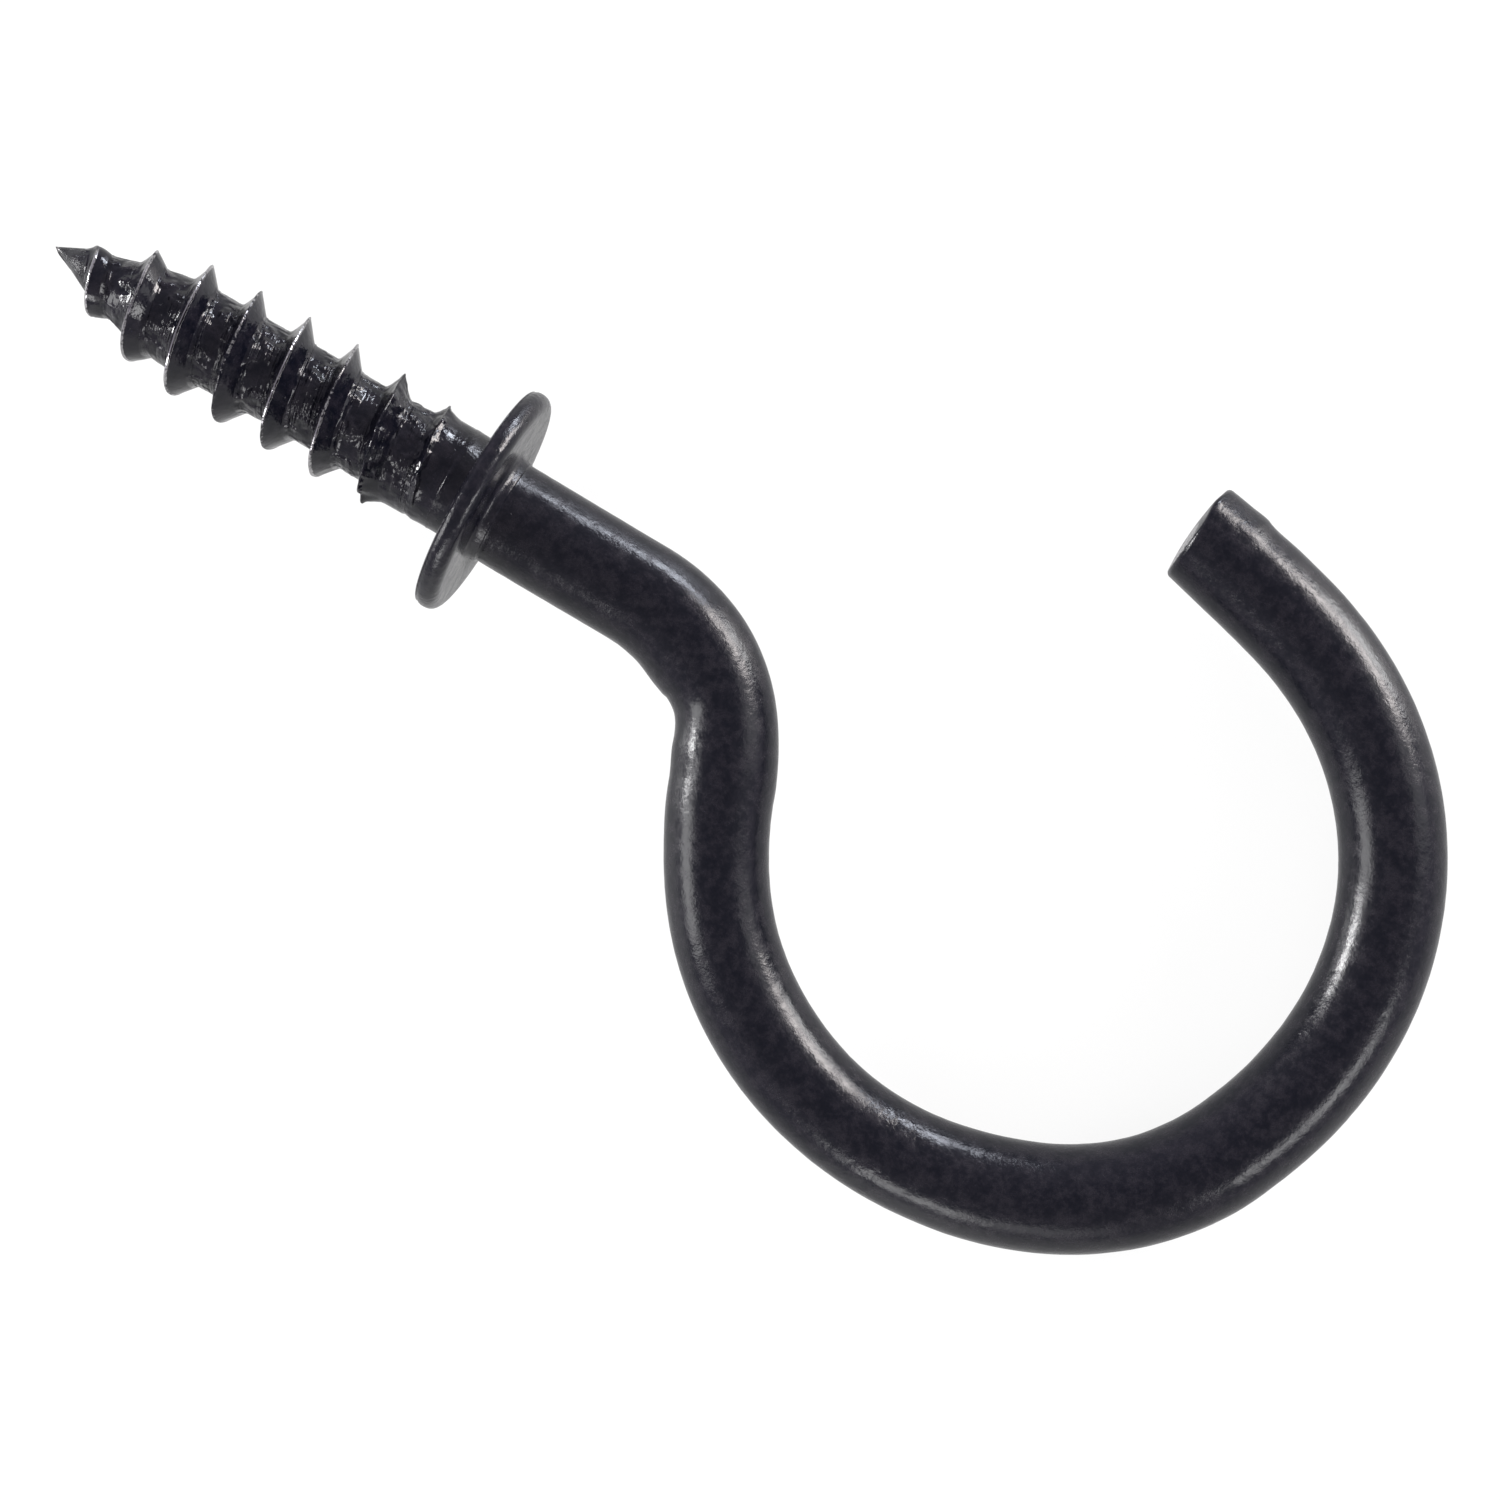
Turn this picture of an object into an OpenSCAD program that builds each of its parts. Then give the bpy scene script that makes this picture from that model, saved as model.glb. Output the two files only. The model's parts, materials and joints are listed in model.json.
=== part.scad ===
// Screw hook, bent from one steel wire: a wood-screw thread with a gimlet point,
// a pressed collar, and an open round hook.
// All sizes are in millimetres. It lies on a table as it comes to rest, on the rim of
// its collar and on the underside of the hook. The origin is on the screw's axis, in
// the plane of the collar's seating face, and +X runs towards the hook.

/* [Wire] */
// Diameter of the wire that the hook is bent from
wire_d = 3.2; // [2.8:0.1:3.8]
// Rounding of the edge at the cut end
cut_edge_r = 0.3; // [0.1:0.05:0.6]

/* [Hook] */
// Clear diameter inside the round of the hook
hook_inside_d = 17.1; // [14:0.1:22]
// How far the middle of the round lies to the side of the screw's axis
hook_offset = 0.5; // [0:0.1:2]
// Straight stem from the seating face to the first bend
stem_len = 5.8; // [4.5:0.1:9]
// Radius of the first bend, at the middle of the wire
neck_r = 5.5; // [4:0.1:7]
// Direction in which the round stops, turning from the far side towards the mouth
mouth_angle = 77; // [60:1:85]
// Straight end after the round
tail_len = 3.7; // [2:0.1:6]

/* [Collar] */
// Diameter of the collar
collar_d = 7.3; // [6:0.1:9]
// Thickness of the collar
collar_t = 0.7; // [0.6:0.05:1.2]
// Rounding of the collar's rim
collar_edge_r = 0.22; // [0.1:0.01:0.28]
// How far the low ring behind the collar stands out from the wire
ring_step = 0.08; // [0.04:0.02:0.3]
// Length of that ring
ring_len = 0.4; // [0.2:0.05:1]

/* [Screw] */
// Length from the seating face to the point
screw_len = 14.5; // [12:0.5:20]
// Diameter of the plain shank under the collar
shank_d = 3.3; // [3:0.1:3.8]
// Length of the plain shank, from the seating face to the end of the thread
shank_len = 1.7; // [1:0.1:3]
// Length over which the shank narrows to the core of the thread
shank_taper_len = 1.6; // [0.8:0.1:2.4]
// Diameter over the crests of the thread
thread_d = 4.1; // [3.6:0.1:4.8]
// Diameter of the core between the threads
core_d = 2.8; // [2.2:0.1:2.8]
// Advance of the thread in one turn
pitch = 1.65; // [1.4:0.05:2.2]
// Width of the thread's ridge at its foot
ridge_w = 0.85; // [0.6:0.05:1.2]
// Width of the flat on its crest
crest_w = 0.08; // [0.04:0.01:0.2]
// Length of the tapered point
point_len = 4.6; // [3:0.1:6]

/* [Hidden] */

$fn = 96;
wire_r = wire_d / 2;
shank_r = shank_d / 2;
core_r = core_d / 2;
collar_r = collar_d / 2;
ridge_h = (thread_d - core_d) / 2;

// Centre line of the hook: the stem, the neck bend that turns away from it, then the
// round, which bends the other way and starts in line with the end of the neck bend.
round_r = (hook_inside_d + wire_d) / 2;
neck_centre = [stem_len, -neck_r];
turn_over = asin((neck_r - hook_offset) / (neck_r + round_r));
round_centre = neck_centre + (neck_r + round_r) * [cos(turn_over), sin(turn_over)];
neck_sweep = 90 - turn_over;
round_start = turn_over - 180;
round_sweep = mouth_angle - round_start;
tail_start = round_centre + round_r * [cos(mouth_angle), sin(mouth_angle)];
tail_dir = [-sin(mouth_angle), cos(mouth_angle)];

// The neck and the end are drawn a little thinner in the bending. They lap into their
// neighbours, and so every joint of the wire is a clean step and not two equal faces.
drawn_r = wire_r - 0.01;
lap = 0.1;

// Centre of mass. Every stretch weighs as much as its length of wire, and so does the
// screw, because rolling a thread only moves the metal.
function arc_middle(centre, r, a0, a1) = let (half = (a1 - a0) / 2, mid = (a0 + a1) / 2)
    centre + r * sin(half) / (half * PI / 180) * [cos(mid), sin(mid)];
solid_screw_len = screw_len - point_len / 2;
mass_moment = stem_len * [stem_len / 2, 0]
    + neck_r * neck_sweep * PI / 180 * arc_middle(neck_centre, neck_r, turn_over, 90)
    + round_r * round_sweep * PI / 180
        * arc_middle(round_centre, round_r, round_start, mouth_angle)
    + tail_len * (tail_start + tail_dir * tail_len / 2)
    - solid_screw_len * [solid_screw_len / 2, 0];

// The lean at rest. The far contact lies where the line from the collar through the
// centre of mass leaves the round, and there the round's underside is level with the
// lowest point of the collar.
mass_dir = mass_moment / norm(mass_moment);
along = mass_dir * round_centre;
aside = norm(round_centre - mass_dir * along);
contact = mass_dir * (along + sqrt(round_r * round_r - aside * aside));
lean_dir = (contact - round_centre) / round_r;
lean_arm = lean_dir * contact - lean_dir[0] * (collar_t - collar_edge_r);
lean = asin((collar_r - wire_r) / lean_arm);

// The thread is a net of points that follows the helix. Once round, a row of the net
// meets the row one turn further on. The rows of a turn are the corners of the ridge's
// section, each as a distance along the axis and a share of the ridge's height. The
// flank towards the point is the steeper one.
turn_steps = 48;
front_share = 0.36;
// Direction round the axis in which the first ridge starts, from +Y towards +Z
first_ridge_dir = 226;
ridge_section = [
    [0, 0],
    [front_share * ridge_w - crest_w / 2, 1],
    [front_share * ridge_w + crest_w / 2, 1],
    [ridge_w, 0],
    [(ridge_w + pitch) / 2, 0]
];
turn_rows = len(ridge_section);
// The net starts close behind the point and ends hidden inside the shank
net_start = 0.1;
hidden_r = min(core_r, shank_r, wire_r) - 0.15;
shank_start = screw_len - shank_len;
net_turns = ceil((shank_start - net_start) / pitch);
net_rows = net_turns * turn_rows;
// The ridge grows along the point. It runs out over the taper, and has sunk into the
// shank before a plate on the seating face could meet it.
ridge_full = 0.75 * point_len;
run_out_from = shank_start - 0.6 * shank_taper_len;
run_out_to = shank_start + 0.2 * shank_taper_len;
// The point is slightly bulged, not a straight cone
point_curve = 1.6;

function ease(x, from, to) = let (t = min(max((x - from) / (to - from), 0), 1))
    t * t * (3 - 2 * t);
// Radius of the core, and height of the ridge, at a distance from the point
function core_at(x) = x < point_len
    ? core_r * (1 - pow(1 - x / point_len, point_curve))
    : core_r - (core_r - hidden_r) * ease(x, shank_start - shank_taper_len / 2, shank_start);
function ridge_at(x) = ridge_h * ease(x, net_start, ridge_full)
    * (1 - ease(x, run_out_from, run_out_to));
function net_point(i, k) = let (
        turn = floor(k / turn_rows),
        corner = ridge_section[k % turn_rows],
        x = net_start + pitch * (turn + i / turn_steps) + corner[0],
        r = core_at(x) + corner[1] * ridge_at(x),
        a = first_ridge_dir + 360 * i / turn_steps)
    [x, r * cos(a), r * sin(a)];
// Place of a net point in the list of points. Step turn_steps is step 0, one turn on.
function place(i, k) = i < turn_steps ? k * turn_steps + i : place(0, k + turn_rows);

module threaded_core() {
    last = turn_steps - 1;
    net = [for (k = [0 : net_rows], i = [0 : last]) net_point(i, k)];
    tip = len(net);
    points = concat(net, [[0, 0, 0], [net_start + pitch * (net_turns + 0.5), 0, 0]]);
    skin = [for (i = [0 : last], k = [0 : net_rows - 1 - (i == last ? turn_rows : 0)]) each [
        [place(i, k), place(i, k + 1), place(i + 1, k + 1)],
        [place(i, k), place(i + 1, k + 1), place(i + 1, k)]]];
    point_rim = concat([for (i = [0 : last]) place(i, 0)],
        [for (k = [turn_rows : -1 : 1]) place(0, k)]);
    inner_rim = concat([for (i = [0 : last]) place(i, net_rows)],
        [for (k = [net_rows - 1 : -1 : net_rows - turn_rows]) place(last, k)]);
    point_fan = [for (j = [0 : len(point_rim) - 1])
        [tip, point_rim[j], point_rim[(j + 1) % len(point_rim)]]];
    inner_fan = [for (j = [0 : len(inner_rim) - 1])
        [tip + 1, inner_rim[(j + 1) % len(inner_rim)], inner_rim[j]]];
    translate([-screw_len, 0, 0]) polyhedron(points, concat(skin, point_fan, inner_fan));
}

// Turns a shape that stands on Z so that it runs along +X
module along_x() {
    rotate([0, 90, 0]) children();
}

module screw() {
    threaded_core();
    along_x() translate([0, 0, -shank_len])
        cylinder(r = shank_r, h = shank_len + collar_t / 2);
    along_x() translate([0, 0, -shank_len - shank_taper_len])
        cylinder(r1 = core_r - 0.05, r2 = shank_r, h = shank_taper_len);
}

// Half section of a bar with a rounded edge at its far end
module edged_section(r, h, edge) {
    square([r - edge, h]);
    square([r, h - edge]);
    translate([r - edge, h - edge]) circle(edge);
}

module collar() {
    along_x() rotate_extrude() {
        translate([0, collar_t / 2]) edged_section(collar_r, collar_t / 2, collar_edge_r);
        translate([0, collar_t / 2]) mirror([0, 1])
            edged_section(collar_r, collar_t / 2, collar_edge_r);
        square([wire_r + ring_step, collar_t + ring_len]);
    }
}

// A stretch of wire bent round a centre, from one direction through a sweep. It reaches
// over both ends by an arc of the lap's length.
module bend(centre, r, from, sweep, wire, lap) {
    over = lap / r * 180 / PI;
    translate([centre[0], centre[1], 0]) rotate(from - over)
        rotate_extrude(angle = sweep + 2 * over) translate([r, 0]) circle(wire);
}

module bent_wire() {
    along_x() translate([0, 0, collar_t / 2]) cylinder(r = wire_r, h = stem_len - collar_t / 2);
    bend(neck_centre, neck_r, turn_over, neck_sweep, drawn_r, lap);
    bend(round_centre, round_r, round_start, round_sweep, wire_r, 0);
    translate([tail_start[0], tail_start[1], 0]) rotate(mouth_angle + 90)
        along_x() translate([0, 0, -lap]) rotate_extrude()
            edged_section(drawn_r, tail_len + lap, cut_edge_r);
}

module screw_hook() {
    color("#2a2a30") rotate(lean, [-lean_dir[1], lean_dir[0], 0]) {
        screw();
        collar();
        bent_wire();
    }
}

screw_hook();
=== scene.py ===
"""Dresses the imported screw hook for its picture: one skin of blackened steel with its
thread, collar and bent wire, then the floor, the lamps and the camera."""

import json
import math

import bpy
from mathutils import Matrix, Vector, noise


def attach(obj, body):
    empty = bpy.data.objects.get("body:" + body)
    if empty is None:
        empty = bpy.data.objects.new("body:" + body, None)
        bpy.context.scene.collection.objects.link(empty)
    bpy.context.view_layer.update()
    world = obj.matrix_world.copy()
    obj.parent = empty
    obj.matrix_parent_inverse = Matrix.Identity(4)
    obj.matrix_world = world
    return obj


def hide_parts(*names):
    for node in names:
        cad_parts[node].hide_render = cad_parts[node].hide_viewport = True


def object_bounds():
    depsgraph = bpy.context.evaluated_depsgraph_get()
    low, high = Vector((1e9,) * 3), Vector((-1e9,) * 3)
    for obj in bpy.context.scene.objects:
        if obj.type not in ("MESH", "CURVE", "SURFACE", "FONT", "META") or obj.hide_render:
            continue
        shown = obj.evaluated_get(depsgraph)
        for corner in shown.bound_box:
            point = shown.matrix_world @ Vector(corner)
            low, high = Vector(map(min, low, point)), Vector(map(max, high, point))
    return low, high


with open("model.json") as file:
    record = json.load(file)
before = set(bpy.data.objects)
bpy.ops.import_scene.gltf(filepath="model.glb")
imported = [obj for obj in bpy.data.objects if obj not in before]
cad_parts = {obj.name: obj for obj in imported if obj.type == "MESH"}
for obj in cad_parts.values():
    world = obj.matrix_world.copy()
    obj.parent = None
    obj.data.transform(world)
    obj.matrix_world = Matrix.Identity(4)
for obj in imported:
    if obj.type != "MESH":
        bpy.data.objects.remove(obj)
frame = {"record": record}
cad_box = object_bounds()

# The skin is worked out in millimetres in the hook's own frame. The origin is on the
# screw's axis in the plane of the seat, X runs along the screw towards the hook, Y lies
# in the hook's plane towards its mouth, and Z stands out of that plane.
MM = 0.001

# Centre line of the wire
STEM_LENGTH = 5.8
NECK_RADIUS = 5.5
ROUND_RADIUS = 10.15
HOOK_OFFSET = 0.5
MOUTH_ANGLE = math.radians(77)
TAIL_LENGTH = 3.7
TURN_OVER = math.asin((NECK_RADIUS - HOOK_OFFSET) / (NECK_RADIUS + ROUND_RADIUS))
NECK_ARC = NECK_RADIUS * (math.pi / 2 - TURN_OVER)
ROUND_ARC = ROUND_RADIUS * (MOUTH_ANGLE + math.pi - TURN_OVER)
WIRE_LENGTH = STEM_LENGTH + NECK_ARC + ROUND_ARC + TAIL_LENGTH

# How the real wire strays: distance from the seat, sideways shift, diameter
WIRE_STRAY = [
    (0.0, 0.0, 3.27),
    (2.5, -0.01, 3.27),
    (5.5, -0.01, 3.25),
    (7.0, -0.01, 3.29),
    (8.5, 0.01, 3.28),
    (10.0, 0.04, 3.10),
    (11.5, -0.10, 3.22),
    (13.0, -0.07, 3.22),
    (14.5, -0.02, 3.17),
    (17.5, -0.02, 3.16),
    (20.5, 0.03, 3.16),
    (23.5, 0.07, 3.12),
    (26.5, 0.10, 3.18),
    (28.0, 0.08, 3.26),
    (29.5, 0.03, 3.30),
    (31.0, -0.05, 3.30),
    (33.3, -0.12, 3.29),
    (35.5, -0.07, 3.30),
    (37.0, 0.03, 3.27),
    (39.5, 0.08, 3.27),
    (43.0, 0.05, 3.25),
    (46.0, 0.02, 3.23),
    (49.0, 0.03, 3.25),
    (53.5, 0.06, 3.26),
    (55.9, 0.02, 3.25),
    (56.8, 0.035, 3.22),
    (58.6, 0.035, 3.22),
]

# Screw, by the distance from its point
SCREW_LENGTH = 14.5
POINT_REACH = 0.05
PITCH = 1.65
FIRST_RIDGE = math.radians(226)
NET_START = 0.1
NET_TURNS = 8
NET_STEPS = 128
# Past its last ridge the net is squeezed along the screw, so that it ends on the shank
SQUEEZE_FROM = 13.3
SQUEEZE_ROOM = 0.55
# The rolling marks lie along the helix: radius of the tube that their pattern is laid
# on, and how fast it changes along a turn
LAY_RADIUS = PITCH / (2 * math.pi)
LAY_CHANGE = 0.9
# Stretches of the screw, each as the start and end of a slope: where the beads set in,
# where the ridges turn ragged, where the crests keep more black, and the thread's end
BEADED_FROM = (0.3, 1.5)
RAGGED_FROM = (9.8, 11.6)
BLACKER_FROM = (10.0, 11.0)
RUN_OUT = (12.9, 13.4)
# Behind the last ridge the plain shank begins at once, on its far flank
LAST_RIDGE = (12.7, 13.1)
FAR_FLANK = (0.3, 0.48)
CORE_RADIUS = [
    (0.0, 0.08),
    (0.15, 0.20),
    (0.5, 0.37),
    (1.0, 0.53),
    (2.0, 0.84),
    (3.0, 1.14),
    (4.0, 1.34),
    (4.8, 1.40),
    (7.5, 1.39),
    (10.4, 1.40),
    (11.6, 1.44),
    (12.7, 1.50),
    (13.3, 1.65),
    (14.5, 1.65),
]
SHANK_RADIUS = 1.65
CREST_RADIUS = [
    (0.1, 0.14),
    (0.6, 0.48),
    (1.1, 0.76),
    (1.85, 1.19),
    (2.7, 1.54),
    (3.53, 1.80),
    (4.35, 2.01),
    (5.2, 2.03),
    (7.6, 2.06),
    (9.3, 2.07),
    (10.9, 2.00),
    (11.8, 1.91),
    (12.57, 1.82),
    (13.0, 1.74),
    (13.3, 1.67),
    (14.5, 1.65),
]
SCREW_SWAY = [
    (0.0, -0.01),
    (0.6, -0.05),
    (1.2, -0.06),
    (2.0, -0.07),
    (3.5, -0.06),
    (5.1, -0.04),
    (6.8, 0.0),
    (8.4, 0.05),
    (11.8, 0.05),
    (13.5, 0.08),
    (14.5, 0.08),
]
# The ridge across: distance from its foot, and share of its height. Its steeper flank
# faces the point and carries the small burr that thread rolling leaves.
RIDGE = [
    (0.0, 0.0),
    (0.05, 0.06),
    (0.12, 0.27),
    (0.19, 0.53),
    (0.235, 0.71),
    (0.25, 0.82),
    (0.265, 0.95),
    (0.29, 1.0),
    (0.325, 0.985),
    (0.35, 0.91),
    (0.42, 0.775),
    (0.52, 0.59),
    (0.62, 0.40),
    (0.72, 0.215),
    (0.80, 0.07),
    (0.835, 0.03),
    (0.87, 0.045),
    (0.91, 0.0),
    (1.0, 0.0),
    (1.1, 0.0),
    (1.2, 0.0),
    (1.3, 0.0),
    (1.4, 0.0),
    (1.52, 0.0),
]

# Shares of the ridge's height between which its flank rises and its crest begins, and
# heights between which a ridge is tall enough to be rubbed
FLANK_FROM = (0.03, 0.2)
CREST_FROM = (0.72, 0.95)
TALL_FROM = (0.03, 0.15)

# Flaws of the rolled thread, the first two as shares of the ridge's height
HEIGHT_WAVE = 0.035
RAGGED_WAVE = 0.30
CREST_NICK = 0.05
LUMPS = 0.014
FINE_LUMPS = 0.010
RAGGED_LUMPS = 0.050
RIDGE_STRAY = 0.025
RAGGED_STRAY = 0.060
# Values of the noise between which a nick sets in, and the share of lumps on the ridge
NICK_FROM = (0.25, 0.6)
RIDGE_LUMPS = 0.3
# Noise along the ridge: waves to a turn, and a place in the noise
HEIGHT_NOISE = (9, 3.1)
RAGGED_NOISE = (26, 8)
NICK_NOISE = (17, 5.7)
STRAY_NOISE = (11, 9.3)
WEAR_NOISE = (7, 4.4)
# Noise over the skin: waves to a turn, waves to the millimetre across, and a place
LUMP_NOISE = (14, 5, 2.0)
FINE_LUMP_NOISE = (40, 9, 6.0)
RAGGED_LUMP_NOISE = (30, 11, 7.0)

# How bare the crests are, how far that varies, and how much barer they are near the point,
# with the middle and the width of that stretch
CREST_WEAR = 0.88
WEAR_CHANGE = 0.3
POINT_WEAR = 0.22
BARER_AT = (3.6, 1.8)
# How much black the later crests keep
BLACKER_CREST = 0.35
# How beaded the ragged stretch and the plainest skin are
RAGGED_BEADS = 0.75
LEAST_BEADS = 0.06
TIP_WEAR = 1.0
TIP_BEADS = 0.3

# The shank's ring, by the distance from the seat, and how beaded it is
SHANK_RING = -0.6
SHANK_BEADS = 0.1

# The collar turned on the wire: distance from the seat, and radius
COLLAR = [
    (-0.20, 1.65),
    (-0.10, 1.652),
    (-0.04, 1.68),
    (0.0, 1.76),
    (0.0, 2.1),
    (0.0, 2.6),
    (0.0, 3.1),
    (0.0, 3.40),
    (0.008, 3.47),
    (0.03, 3.55),
    (0.06, 3.59),
    (0.09, 3.59),
    (0.12, 3.60),
    (0.17, 3.63),
    (0.24, 3.648),
    (0.32, 3.65),
    (0.40, 3.642),
    (0.48, 3.62),
    (0.55, 3.58),
    (0.61, 3.52),
    (0.655, 3.445),
    (0.685, 3.36),
    (0.70, 3.26),
    (0.70, 2.9),
    (0.70, 2.4),
    (0.70, 2.05),
    (0.715, 1.92),
    (0.76, 1.80),
    (0.84, 1.735),
    (0.95, 1.71),
    (1.06, 1.705),
    (1.09, 1.695),
    (1.105, 1.665),
    (1.12, 1.642),
    (1.16, 1.636),
]
COLLAR_TILT = math.tan(math.radians(1.0))
COLLAR_NOD = math.tan(math.radians(1.9))
COLLAR_SHIFT = 0.08
# Radii between which the tilt, the beads and the bare rim set in
TILTED_FROM = (1.7, 2.2)
EDGE_FROM = (3.3, 3.6)
RIM_FROM = (3.5, 3.6)
RIM_WEAR = 0.5
FACE_BEADS = 0.15
EDGE_BEADS = 0.45

# The cut end of the wire
END_LENGTH = 1.7
END_ROUNDING = 0.13
END_DOME = 0.17
END_SLANT = math.tan(math.radians(7))
END_LEAN = math.tan(math.radians(4))
END_LIP = 0.13
# How far the end stands out past the wire's length, and the share of its dome that it is
# set back by
END_PUSH = 0.08
END_SHIFT = 0.4
# Rings before the rounded edge, the steps of the edge, and the shares of the flat face
END_RINGS = [-0.15 * k - 0.18 for k in range(9, -1, -1)]
EDGE_STEPS = 6
FACE_SHARES = [0.8, 0.6, 0.4, 0.2, 0.08]
# What the shears pressed the outer side to: distance from the end, and change of radius
END_PRESSED = [(-1.6, 0.0), (-1.2, 0.045), (-0.6, -0.015), (0.0, -0.085)]
PRESSED_FROM = (-1.55, -1.15)
# Distances from the end between which each of its forms sets in
SLANTED_FROM = (-0.8, -0.2)
PUSHED_FROM = (-0.9, -0.2)
LIP_FROM = (-0.5, -0.1)
DOME_FROM = (-0.3, 0.0)
FACE_FROM = (-0.05, 0.0)
# The lip's place and width across the end, as shares of the radius
LIP_PLACE = -0.5
LIP_WIDTH = 0.28
# The break: how bare it is, how far its border wanders, and where that lies across
BREAK_WEAR = 0.95
BREAK_WANDER = 0.7
BREAK_FROM = (-1.3, 0.4)
BREAK_WAVES = 1.3
BREAK_NOISE = 4.0
END_WEAR = 0.9
END_BEADS = 0.3

# What the bending tool left inside the neck: the flat's middle and length, the slopes
# that the nick starts and ends with, and how deep both are
NECK_FLAT = (8.2, 0.7)
NECK_NICK_START = (9.02, 9.25)
NECK_NICK_END = (9.5, 11.8)
NECK_DEPTH = 0.04

# Unevenness of the wire's skin, and its waves to the millimetre and round the wire
SKIN_GRAIN = 0.006
SKIN_WAVES = 3

SHARP_ANGLE = math.radians(38)
RING_STEP = 0.22
FINE_RING_STEP = 0.1
FINE_STRETCHES = [(0.0, 3.0), (8.0, 10.4)]

# Painted highlights, laid as small spots of bare steel where the wire only catches light:
# distance, angle round the wire in degrees, radius, strength
PAINTED_HIGHLIGHTS = [
    (1.28, 50, 0.24, 0.72),
    (1.46, 89, 0.05, 1.0),
    (1.53, 82, 0.05, 1.0),
    (1.62, 47, 0.09, 0.7),
    (-0.63, 129, 0.08, 1.0),
    (-1.54, 51, 0.14, 0.9),
]
# Between which shares of its radius a painted highlight spot fades
HIGHLIGHT_FADE = (0.5, 1.2)
# Stretches of the wire that the bending tool has scuffed: distance, length, strength
SCUFFS = [
    (1.3, 1.0, 0.7),
    (8.6, 1.4, 0.35),
    (11.8, 0.6, 0.4),
    (25.2, 1.3, 0.8),
    (43.0, 1.2, 0.3),
    (57.0, 0.8, 0.3),
]


def ease(x, start, end):
    """0 before start, 1 after end, and a soft slope between."""
    t = min(max((x - start) / (end - start), 0.0), 1.0)
    return t * t * (3.0 - 2.0 * t)


def bump_at(x, centre, width):
    """A soft hump of height 1."""
    return math.exp(-(((x - centre) / width) ** 2))


def flow(table, x, column=1):
    """A smooth curve through a column of a table whose first column is x."""
    if x <= table[0][0]:
        return table[0][column]
    if x >= table[-1][0]:
        return table[-1][column]
    i = max(k for k in range(len(table) - 1) if table[k][0] <= x)

    def slope(k):
        before = table[max(k - 1, 0)]
        after = table[min(k + 1, len(table) - 1)]
        return (after[column] - before[column]) / (after[0] - before[0])

    x0, x1 = table[i][0], table[i + 1][0]
    y0, y1 = table[i][column], table[i + 1][column]
    w = x1 - x0
    t = (x - x0) / w
    return (
        (2 * t**3 - 3 * t**2 + 1) * y0
        + (t**3 - 2 * t**2 + t) * w * slope(i)
        + (3 * t**2 - 2 * t**3) * y1
        + (t**3 - t**2) * w * slope(i + 1)
    )


def wobble(x, y=0.0, z=0.0):
    """Seedless noise from -1 to 1 that is the same on every run."""
    return noise.noise(Vector((x, y, z)))


def hook_frame():
    """Matrix from the hook's own frame in metres to the row frame, by the mounts."""
    mounts = {m["name"]: m for m in frame["record"]["mounts"]}
    x_axis = -Vector(mounts["seat"]["axis"]).normalized()
    z_axis = Vector(mounts["hook"]["axis"]).normalized()
    y_axis = z_axis.cross(x_axis).normalized()
    z_axis = x_axis.cross(y_axis)
    turn = Matrix((x_axis, y_axis, z_axis)).transposed()
    return turn.to_4x4()


def line_at(distance):
    """Point and direction of the wire's centre line."""
    if distance <= STEM_LENGTH:
        return Vector((distance, 0.0)), 0.0
    along = distance - STEM_LENGTH
    if along <= NECK_ARC:
        turn = along / NECK_RADIUS
        centre = Vector((STEM_LENGTH, -NECK_RADIUS))
        point = centre + NECK_RADIUS * Vector((math.sin(turn), math.cos(turn)))
        return point, -turn
    along -= NECK_ARC
    reach = NECK_RADIUS + ROUND_RADIUS
    centre = Vector((STEM_LENGTH, -NECK_RADIUS)) + reach * Vector(
        (math.cos(TURN_OVER), math.sin(TURN_OVER))
    )
    turn = TURN_OVER - math.pi + min(along, ROUND_ARC) / ROUND_RADIUS
    point = centre + ROUND_RADIUS * Vector((math.cos(turn), math.sin(turn)))
    direction = turn + math.pi / 2
    spare = max(along - ROUND_ARC, 0.0)
    point = point + spare * Vector((math.cos(direction), math.sin(direction)))
    return point, direction


def wire_point(distance, radius, angle, push=0.0):
    """A point of the skin. push moves it along the wire."""
    middle, direction = line_at(max(distance, 0.0))
    ahead = Vector((math.cos(direction), math.sin(direction)))
    side = Vector((-ahead.y, ahead.x))
    start = min(distance, 0.0) + push
    spot = middle + side * (flow(WIRE_STRAY, distance) + radius * math.cos(angle))
    spot = spot + ahead * start
    return Vector((spot.x, spot.y, radius * math.sin(angle)))


def ridge_noise(wound, kind):
    """Noise along the ridge."""
    waves, place = kind
    return wobble(wound * waves, place)


def skin_noise(wound, across, kind):
    """Noise over the thread's skin."""
    waves, waves_across, place = kind
    return wobble(wound * waves, across * waves_across, place)


def ridge_height(full_height, wound, share, ragged):
    """The height of the ridge with its waves and its nicks."""
    wave = HEIGHT_WAVE * ridge_noise(wound, HEIGHT_NOISE)
    wave += RAGGED_WAVE * ragged * ridge_noise(wound, RAGGED_NOISE)
    nick = CREST_NICK * ease(ridge_noise(wound, NICK_NOISE), *NICK_FROM)
    return full_height * (1 + wave) - nick * share


def thread_lumps(wound, across, valley, beaded, ragged):
    """How far the thread's skin stands out in lumps, most of all in the valley."""
    spread = RIDGE_LUMPS + (1 - RIDGE_LUMPS) * valley
    lumps = LUMPS * skin_noise(wound, across, LUMP_NOISE) * spread
    lumps += FINE_LUMPS * skin_noise(wound, across, FINE_LUMP_NOISE) * valley
    torn = RAGGED_LUMPS * skin_noise(wound, across, RAGGED_LUMP_NOISE)
    return beaded * lumps + ragged * torn


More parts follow.
